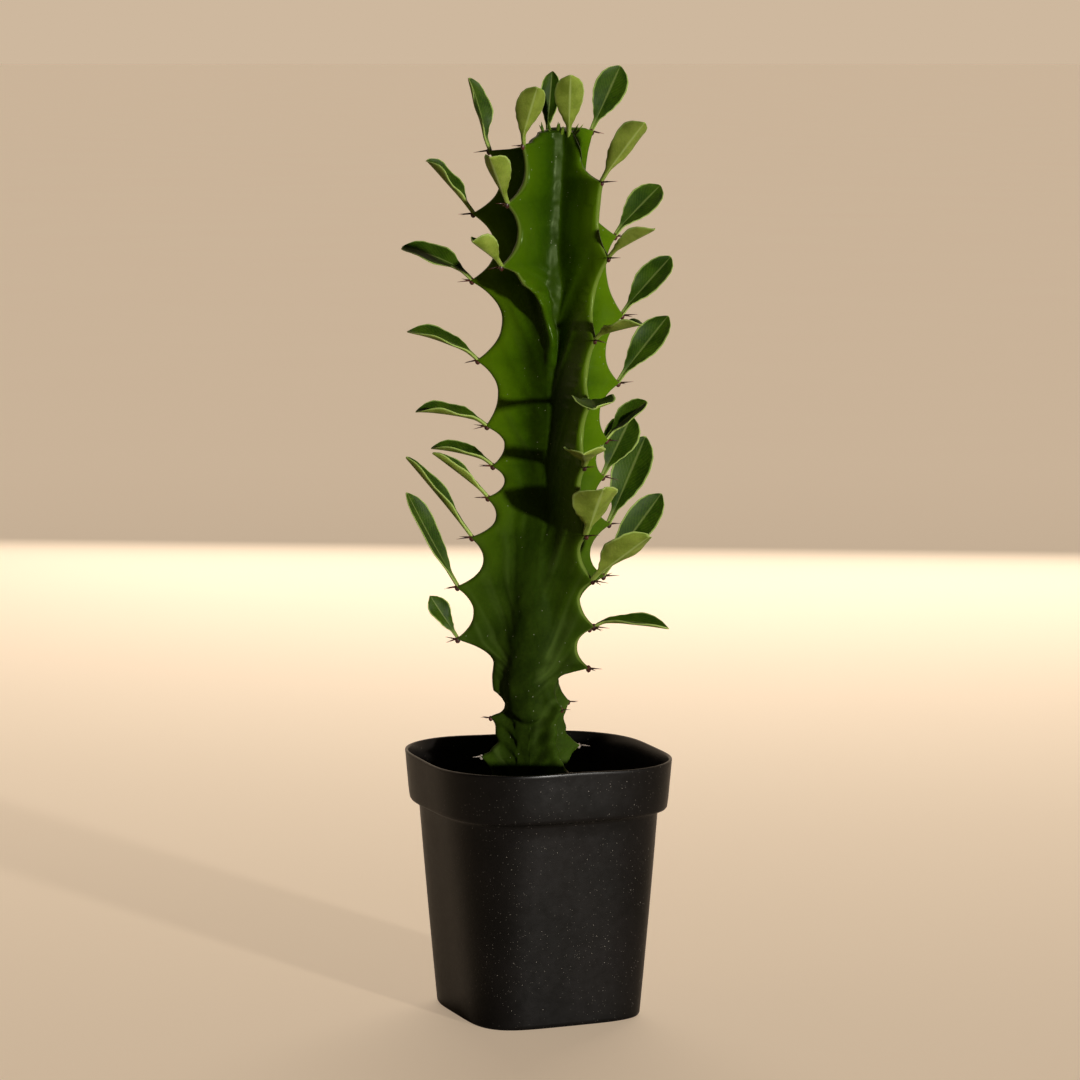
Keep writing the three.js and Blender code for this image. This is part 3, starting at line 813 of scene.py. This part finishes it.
def makeLeaf(label, base, joint, shape, material, chance):
    side, elevation, length, width, roll, fold, droop = shape
    bm = bmesh.new()
    layers = {key: bm.verts.layers.float.new(key) for key in ("lengthwise", "across", "upper")}
    bmesh.ops.create_grid(bm, x_segments=leafShape["lengthwise"], y_segments=leafShape["across"], size=1)
    flat = set(bm.verts)
    bmesh.ops.solidify(bm, geom=bm.faces[:], thickness=0.1)
    for vert in bm.verts:
        vert[layers["lengthwise"]] = (vert.co.x + 1) / 2
        vert[layers["across"]] = vert.co.y
        vert[layers["upper"]] = 1.0 if vert in flat else 0.0
    wavePhase = chance.uniform(0, 6.28)
    waveSize = chance.uniform(*leafShape["wave"])
    pinch = math.radians(fold)
    for vert in bm.verts:
        share = min(max(vert[layers["lengthwise"]], 0.0), 1.0)
        lateral = min(max(vert[layers["across"]], -1.0), 1.0)
        hand = 1 if vert[layers["upper"]] > 0.5 else -1
        half = width / 2 * along(leafShape["outline"], share)
        bent = pinch * (0.45 + 0.75 * abs(lateral))
        y = half * lateral * math.cos(bent)
        z = half * abs(lateral) * math.sin(bent)
        ripple = math.sin(share * leafShape["waves"] + wavePhase + lateral)
        z += waveSize * lateral ** 2 * ripple * smooth(share * 3)
        z -= droop * length * share * share
        thick = leafShape["thickness"] / 2 * mix(1.35, 0.75, share) * (1 - 0.55 * lateral * lateral)
        tipwards = smooth((1 - share) * 2)
        if hand < 0:
            thick += leafShape["midribBulge"] * math.exp(-(lateral * half / 0.55) ** 2) * tipwards
        else:
            thick -= leafShape["midribGroove"] * math.exp(-(lateral * half / 0.5) ** 2) * tipwards
        y -= hand * thick * math.sin(bent) * (1 if lateral > 0 else -1)
        vert.co = (length * share, y, z + hand * thick)
    turn = Matrix.Rotation(math.radians(side), 4, "Z") @ Matrix.Rotation(math.radians(-elevation), 4, "Y")
    turn = turn @ Matrix.Rotation(math.radians(roll), 4, "X")
    bmesh.ops.transform(bm, matrix=Matrix.Translation(base) @ turn, verts=bm.verts)
    for vert in bm.verts:  # the stalk curves down into the tooth
        share = vert[layers["lengthwise"]]
        vert.co += joint * max(1 - share / leafShape["stalk"], 0) ** 1.6
    bmesh.ops.scale(bm, verts=bm.verts, vec=(mm, mm, mm))
    return finishPiece("leafBlade_" + label, bm, ["leaf_" + label], [material], 1)


def makeLeaves():
    chance = random.Random(leafShape["seed"])
    material = makeLeafMaterial()
    inwards, down = leafShape["stalkBend"]
    counts = {}
    for name, height, side, *shape in leaves:
        rib = ribs[name]
        out = heading(along(rib["heading"], height))
        reach = crestReach(rib["teeth"], height) + leafShape["clearance"]
        base = stemCentre(height) + out * reach + Vector((0, 0, leafShape["baseLift"]))
        counts[name] = counts.get(name, 0) + 1
        label = name + "_" + str(counts[name])
        joint = out * -inwards + Vector((0, 0, -down))
        makeLeaf(label, base, joint, (side, *shape), material, chance)
    for index, (away, distance, side, *shape) in enumerate(tipLeaves):
        base = stemCentre(stem["tipLevel"]) + heading(away) * distance
        base.z = stem["tipLevel"] + leafShape["clearance"]
        makeLeaf("tip_" + str(index + 1), base, Vector((0, 0, -2.5)), (side, *shape), material, chance)


# the youngest leaves are narrow scales crowded round the growing tip
buds = {
    "count": 11, "length": (3.5, 7), "width": 1.5, "thickness": 0.8, "taper": 0.7,
    "sides": (190, 330), "spread": (2, 8), "lean": (10, 50), "sink": 1.2, "seed": 3,
}


def makeBuds(material):
    chance = random.Random(buds["seed"])
    bm = bmesh.new()
    for _ in range(buds["count"]):
        length = chance.uniform(*buds["length"])
        side = heading(chance.uniform(*buds["sides"]))
        made = bmesh.ops.create_icosphere(bm, subdivisions=2, radius=1)["verts"]
        for vert in made:
            narrow = 1 - buds["taper"] * max(vert.co.z, 0)
            vert.co.x *= buds["thickness"] / 2 * narrow
            vert.co.y *= buds["width"] / 2 * narrow
            vert.co.z = (vert.co.z + 1) / 2 * length
        lean = Matrix.Rotation(math.radians(chance.uniform(*buds["lean"])), 4, "Y")
        turn = Matrix.Rotation(math.atan2(side.y, side.x), 4, "Z")
        place = stemCentre(stem["tipLevel"]) + side * chance.uniform(*buds["spread"])
        place.z -= buds["sink"]
        bmesh.ops.transform(bm, matrix=Matrix.Translation(place) @ turn @ lean, verts=made)
    bmesh.ops.scale(bm, verts=bm.verts, vec=(mm, mm, mm))
    return finishPiece("tipBuds", bm, [], [material])


def makeBudMaterial():
    material, tree, shader, place = newMaterial("thornyBud")
    green = mottle(tree, place, 300.0, colour(60, 84, 10), colour(104, 128, 34))
    tree.links.new(green.outputs["Color"], shader.inputs["Base Color"])
    shader.inputs["Roughness"].default_value = 0.6
    shader.inputs["Specular IOR Level"].default_value = 0.15
    return material


makeLeaves()
makeBuds(makeBudMaterial())
print("the leaves are placed")


# the pot

pot = {
    "rimHalf": 48, "height": 102.6, "bandHalf": 46.4, "bandBottom": 82.6, "shoulderHalf": 43, "footHalf": 35.1,
    "wall": 1.2, "floor": 1.6, "recess": 0.3,  # how far the floor stands clear of the ground
    "cornersLow": 4.4, "cornersHigh": 3.3,  # how square the foot and the band are
    "wobble": 0.5, "wobbleFrom": 92, "wobbleFull": 10,  # the rim is a little wavy
    "drainRadius": 4, "drainOffset": 20, "around": 192,
}


def squareRing(half, height, wobble=0.0, around=pot["around"]):
    tight = mix(pot["cornersLow"], pot["cornersHigh"], min(1.0, height / pot["bandBottom"]))
    ring = []
    for i in range(around):
        angle = (i + 0.5) / around * 2 * math.pi
        x, y = math.cos(angle), math.sin(angle)
        scale = half / (abs(x) ** tight + abs(y) ** tight) ** (1 / tight)
        lift = wobble * (0.5 * math.sin(3 * angle + 1.2) + 0.3 * math.sin(7 * angle))
        ring.append(Vector((x * scale, y * scale, height + lift)) * mm)
    return ring


def wallHalf(height):
    return mix(pot["footHalf"], pot["shoulderHalf"], height / pot["bandBottom"])


def potProfile():
    # half widths and heights, from the underside out, up the outside, over the rim and down inside
    top, low, wall, floor = pot["height"], pot["bandBottom"], pot["wall"], pot["floor"]
    foot, shoulder, band, rim = pot["footHalf"], pot["shoulderHalf"], pot["bandHalf"], pot["rimHalf"]
    recess = pot["recess"]
    profile = [(foot * 0.5, recess), (foot - 3.2, recess), (foot - 2.4, 0), (foot - 1.2, 0)]
    profile += [(foot - 0.35, 0.3), (wallHalf(1), 1.1)]
    profile += [(wallHalf(h), h) for h in (2, 6, 20, 40, 60, 76, 81)]
    profile += [(shoulder + 0.15, low - 0.5), (shoulder + 0.9, low), (band - 1.3, low + 0.05)]
    profile += [(band - 0.5, low + 0.35), (band - 0.1, low + 1.0), (band + 0.05, low + 2)]
    profile += [(mix(band, rim, share), mix(low, top, share)) for share in (0.25, 0.5, 0.75, 0.93)]
    profile += [(rim, top - 0.45), (rim - 0.12, top - 0.12), (rim - 0.5, top), (rim - 0.95, top - 0.15),
                (rim - wall, top - 0.6)]
    profile += [(mix(band, rim, share) - wall, mix(low, top, share)) for share in (0.75, 0.4, 0.15)]
    profile += [(band - wall - 0.6, low + 1.4), (shoulder - wall + 0.3, low + 1.0), (shoulder - wall, low)]
    profile += [(wallHalf(h) - wall, h) for h in (76, 40, 6)]
    profile += [(wallHalf(3) - wall - 0.4, floor + 0.9), (foot - wall - 1.6, floor), (foot * 0.5, floor)]
    return profile


def makePotMaterial():
    material, tree, shader, place = newMaterial("potPlastic")
    plastic = mottle(tree, place, 30.0, colour(12, 11, 10), colour(18, 16, 15))
    fine = specks(tree, place, 1100.0, 0.15, 0.3)
    coarse = specks(tree, place, 560.0, 0.09, 0.16)
    dust = maths(tree, "MAXIMUM", maths(tree, "MULTIPLY", fine, 0.22), maths(tree, "MULTIPLY", coarse, 0.45))
    dusty = blend(tree, dust, plastic.outputs["Color"], colour(168, 160, 148))
    tree.links.new(dusty, shader.inputs["Base Color"])
    rough = maths(tree, "ADD", 0.24, maths(tree, "MULTIPLY", plastic.outputs["Grain"], 0.14))
    rough = maths(tree, "ADD", rough, maths(tree, "MULTIPLY", dust, 0.3))
    tree.links.new(rough, shader.inputs["Roughness"])
    moulded = noise(tree, place, 900.0, 2.0)
    addBump(tree, shader, maths(tree, "ADD", maths(tree, "MULTIPLY", moulded, 0.5), dust), 0.1, 0.0003)
    shader.inputs["Specular IOR Level"].default_value = 0.21
    return material


def drillHoles(shell):
    # four round drain holes through the floor
    bits = bmesh.new()
    far, radius, floor = pot["drainOffset"] * mm, pot["drainRadius"] * mm, pot["floor"] * mm
    for x in (-far, far):
        for y in (-far, far):
            place = Matrix.Translation((x, y, floor / 2))
            bmesh.ops.create_cone(bits, cap_ends=True, segments=48, radius1=radius, radius2=radius,
                                  depth=3 * floor, matrix=place)
    mesh = bpy.data.meshes.new("drill")
    bits.to_mesh(mesh)
    bits.free()
    drill = bpy.data.objects.new("drill", mesh)
    scene.collection.objects.link(drill)
    cut = shell.modifiers.new("cut", "BOOLEAN")
    cut.operation, cut.solver, cut.object = "DIFFERENCE", "EXACT", drill
    ready = shell.evaluated_get(bpy.context.evaluated_depsgraph_get())
    shell.data = bpy.data.meshes.new_from_object(ready)
    shell.modifiers.remove(cut)
    bpy.data.objects.remove(drill)


def makePot():
    bm = bmesh.new()
    rings = []
    for half, height in potProfile():
        wobble = pot["wobble"] * smooth((height - pot["wobbleFrom"]) / pot["wobbleFull"])
        rings.append(squareRing(half, height, wobble))
    loops = extrudeRings(bm, rings)
    closeWithPole(bm, loops[0], (0, 0, pot["recess"] * mm))
    closeWithPole(bm, loops[-1], (0, 0, pot["floor"] * mm))
    shell = finishPiece("potShell", bm, ["pot"], [makePotMaterial()])
    drillHoles(shell)


makePot()
print("the pot is moulded")


# the soil: a crumbly top with loose bits of bark and grit

soil = {
    "top": 79.5, "mound": 2.5, "lumps": 0.9, "gap": 0.3,  # clear of the pot's floor and of the stem's foot
    "wallGap": 0.6, "hole": 11.6,  # clear of the pot's wall, and round the stem
    "rings": 26, "around": 96,
    "bits": 260, "bitSize": (0.5, 1.7), "bitsFrom": 13.5, "bitsTo": 36, "seed": 11,
}


def makeSoilMaterial():
    material, tree, shader, place = newMaterial("pottingMix")
    crumbs = mottle(tree, place, 260.0, colour(26, 19, 14), colour(74, 54, 38))
    tree.links.new(crumbs.outputs["Color"], shader.inputs["Base Color"])
    shader.inputs["Roughness"].default_value = 0.95
    relief = maths(tree, "ADD", crumbs.outputs["Grain"], noise(tree, place, 700.0, 4.0, 0.7))
    addBump(tree, shader, relief, 0.8, 0.0015)
    return material


def soilHalf(height):
    return wallHalf(height) - pot["wall"] - soil["wallGap"]


def fillSoil(material):
    chance = random.Random(soil["seed"])
    top, around, bottom = soil["top"], soil["around"], pot["floor"] + soil["gap"]
    centre = stemCentre(stem["foot"]) * mm
    profile = [(soilHalf(bottom) - 1.5, bottom), (soilHalf(bottom + 1), bottom + 1), (soilHalf(40), 40),
               (soilHalf(top - 1), top - 1)]
    rings = [squareRing(half, height, 0, around) for half, height in profile]
    outer = squareRing(soilHalf(top) - 0.3, top, 0, around)
    for step in range(soil["rings"]):  # the top, from the wall in to the stem
        share = step / (soil["rings"] - 1)
        rise = soil["mound"] * math.sin(math.pi * min(share, 0.9) * 0.55)
        ring = []
        for place in outer:
            side = Vector((place.x - centre.x, place.y - centre.y, 0))
            inner = Vector((centre.x, centre.y, 0)) + side.normalized() * soil["hole"] * mm
            spot = Vector((place.x, place.y, 0)).lerp(inner, share)
            lump = soil["lumps"] * (chance.random() - 0.5) * smooth(share * 6)
            spot.z = (top + rise + lump) * mm
            ring.append(spot)
        rings.append(ring)
    foot = (stem["foot"] - soil["gap"]) * mm  # and down round the stem, to below its foot
    deep = [Vector((place.x, place.y, foot)) for place in rings[-1]]
    bm = bmesh.new()
    loops = extrudeRings(bm, rings + [deep])
    closeWithPole(bm, loops[0], (0, 0, bottom * mm))
    closeWithPole(bm, loops[-1], (centre.x, centre.y, foot))
    finishPiece("pottingMix", bm, ["soil"], [material])
    return chance


def scatterBits(material, chance):
    centre = stemCentre(stem["foot"])
    bits = bmesh.new()
    for _ in range(soil["bits"]):
        side = heading(chance.uniform(0, 360))
        far = chance.uniform(soil["bitsFrom"], soil["bitsTo"])
        size = chance.uniform(*soil["bitSize"]) ** 1.3
        chunk = bmesh.ops.create_icosphere(bits, subdivisions=1, radius=size)["verts"]
        for vert in chunk:
            vert.co *= chance.uniform(0.7, 1.2)
        squash = Matrix.Diagonal((chance.uniform(0.8, 1.9), 1, chance.uniform(0.35, 0.8), 1))
        spin = Matrix.Rotation(chance.uniform(0, 6.28), 4, "Z")
        spin = spin @ Matrix.Rotation(chance.uniform(-0.5, 0.5), 4, "X")
        rise = soil["top"] + soil["mound"] * 0.8 * (1 - far / 42) + 0.6
        place = Vector((centre.x, centre.y, rise)) + side * far
        bmesh.ops.transform(bits, matrix=Matrix.Translation(place) @ spin @ squash, verts=chunk)
    bmesh.ops.scale(bits, verts=bits.verts, vec=(mm, mm, mm))
    finishPiece("barkBits", bits, [], [material])


soilMaterial = makeSoilMaterial()
scatterBits(soilMaterial, fillSoil(soilMaterial))
print("the soil is filled in")
